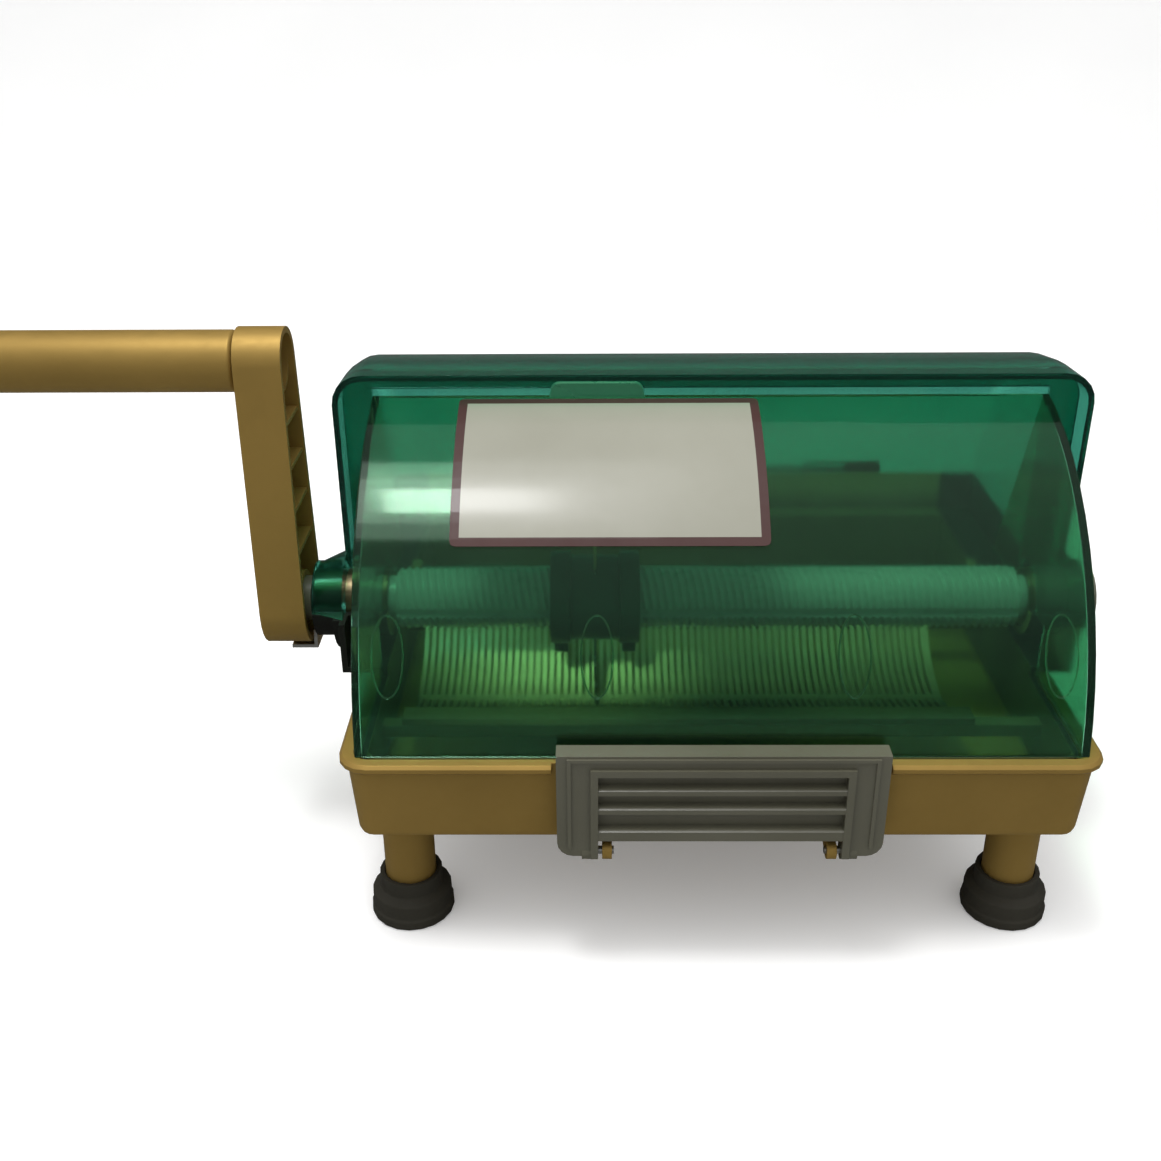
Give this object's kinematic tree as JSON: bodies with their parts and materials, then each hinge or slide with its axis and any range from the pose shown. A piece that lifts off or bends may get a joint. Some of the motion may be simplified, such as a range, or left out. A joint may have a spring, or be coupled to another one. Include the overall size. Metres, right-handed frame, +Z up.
{
  "type": "rotary vegetable cutter",
  "caption": "Hand-cranked rotary vegetable cutter: a crank turns a lead screw with travelling knives over a slotted trough, under a hinged clear cover with a front latch.",
  "frame": {"origin": "centre of the bounding box's underside, on the plane that the feet stand on", "axes": "+X along the lead screw, away from the crank; +Y from the latch to the cover's hinge; +Z up"},
  "size_m": [0.4332, 0.2472, 0.2235],
  "materials": {
    "gold": "satin metallic gold moulding",
    "green": "clear emerald moulding, polished",
    "black": "satin black moulding",
    "olive": "satin moulding, yellow green",
    "grey": "satin dark grey moulding",
    "rubber": "matt moulded rubber",
    "steel": "brushed steel",
    "bronze": "turned bronze"
  },
  "bodies": {
    "stand": {"base_tray": "gold", "inner_frame": "black", "slotted_trough": "olive", "guide_bar": "steel", "bush_left": "bronze", "bush_right": "bronze", "cover_hinge_pin": "steel", "latch_pin_left": "steel", "latch_pin_right": "steel", "leg_front_left": "gold", "leg_front_right": "gold", "leg_rear_left": "gold", "leg_rear_right": "gold", "foot_front_left": "rubber", "foot_front_right": "rubber", "foot_rear_left": "rubber", "foot_rear_right": "rubber", "leg_screw_front_left": "steel", "leg_screw_front_right": "steel", "leg_screw_rear_left": "steel", "leg_screw_rear_right": "steel"},
    "crank": {"lead_screw": "steel", "screw_retaining_ring": "grey", "crank_arm": "gold", "drive_insert": "grey", "arm_clip": "steel", "grip_axle": "steel"},
    "grip": {"handle_grip": "gold", "grip_end_cap": "gold"},
    "carriage": {"carriage_nut_left": "grey", "carriage_nut_right": "grey", "guide_shoe": "steel"},
    "knives": {"knife_hub": "grey", "hub_key": "steel", "knife_lower": "steel", "knife_upper": "steel"},
    "cover": {"front_cover": "green", "rear_hood": "green"},
    "latch": {"front_latch": "grey"}
  },
  "joints": [
    {"name": "crank_turn", "type": "hinge", "parent": "stand", "child": "crank", "pos_m": [0.06105, -0.0266, 0.1095], "axis": [1, 0, 0], "range_deg": [-1710, 4320]},
    {"name": "grip_spin", "type": "hinge", "parent": "crank", "child": "grip", "pos_m": [-0.16895, -0.0266, 0.2105], "axis": [1, 0, 0], "continuous": true},
    {"name": "carriage_travel", "type": "slide", "parent": "stand", "child": "carriage", "axis": [1, 0, 0], "range_m": [-0.059, 0.1489]},
    {"name": "knife_turn", "type": "hinge", "parent": "carriage", "child": "knives", "pos_m": [0.01565, -0.0266, 0.1095], "axis": [1, 0, 0], "range_deg": [-1711, 4321]},
    {"name": "cover_hinge", "type": "hinge", "parent": "stand", "child": "cover", "pos_m": [0.06105, 0.1194, 0.1095], "axis": [-1, 0, 0], "range_deg": [0, 100]},
    {"name": "latch_swing", "type": "hinge", "parent": "stand", "child": "latch", "pos_m": [0.06105, -0.1192, 0.052], "axis": [1, 0, 0], "range_deg": [0, 100]}
  ],
  "couplings": [
    {"joint": "carriage_travel", "follows": "crank_turn", "m_per_rad": 0.0019735},
    {"joint": "knife_turn", "follows": "crank_turn", "ratio": 1}
  ]
}
